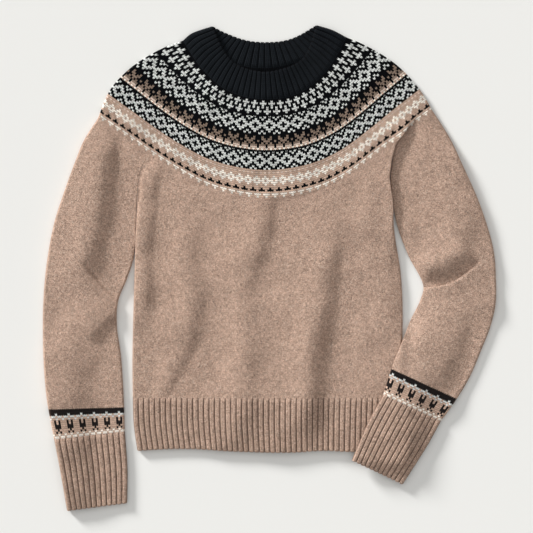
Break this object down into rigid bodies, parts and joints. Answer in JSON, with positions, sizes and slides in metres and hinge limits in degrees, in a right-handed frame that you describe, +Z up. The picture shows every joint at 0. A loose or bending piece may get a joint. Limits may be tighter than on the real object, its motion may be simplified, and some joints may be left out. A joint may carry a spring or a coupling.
{
  "type": "fair isle jumper",
  "caption": "Knitted jumper with a round patterned yoke, ribbed neck, hem and cuffs, lying flat with its sleeves down.",
  "frame": {"origin": "under the middle of the garment's outline, on the surface that it lies on", "axes": "+Y towards the neck, +X towards the bent sleeve, +Z up from the surface, the way the front faces"},
  "size_m": [0.6804, 0.729, 0.0178],
  "materials": {
    "heather_wool": "matt marled wool, beige heather, knitted in stocking stitch and rib",
    "patterned_wool": "matt wool, black ground with off-white, taupe and cream stranded motifs",
    "black_wool": "matt black wool in rib"
  },
  "bodies": {
    "root": {"neckband": "black_wool", "yoke": "patterned_wool", "front": "heather_wool", "back": "heather_wool", "sleeve_left": "heather_wool", "sleeve_right": "heather_wool", "hem_band": "heather_wool", "cuff_left": "heather_wool", "cuff_right": "heather_wool"}
  },
  "joints": []
}
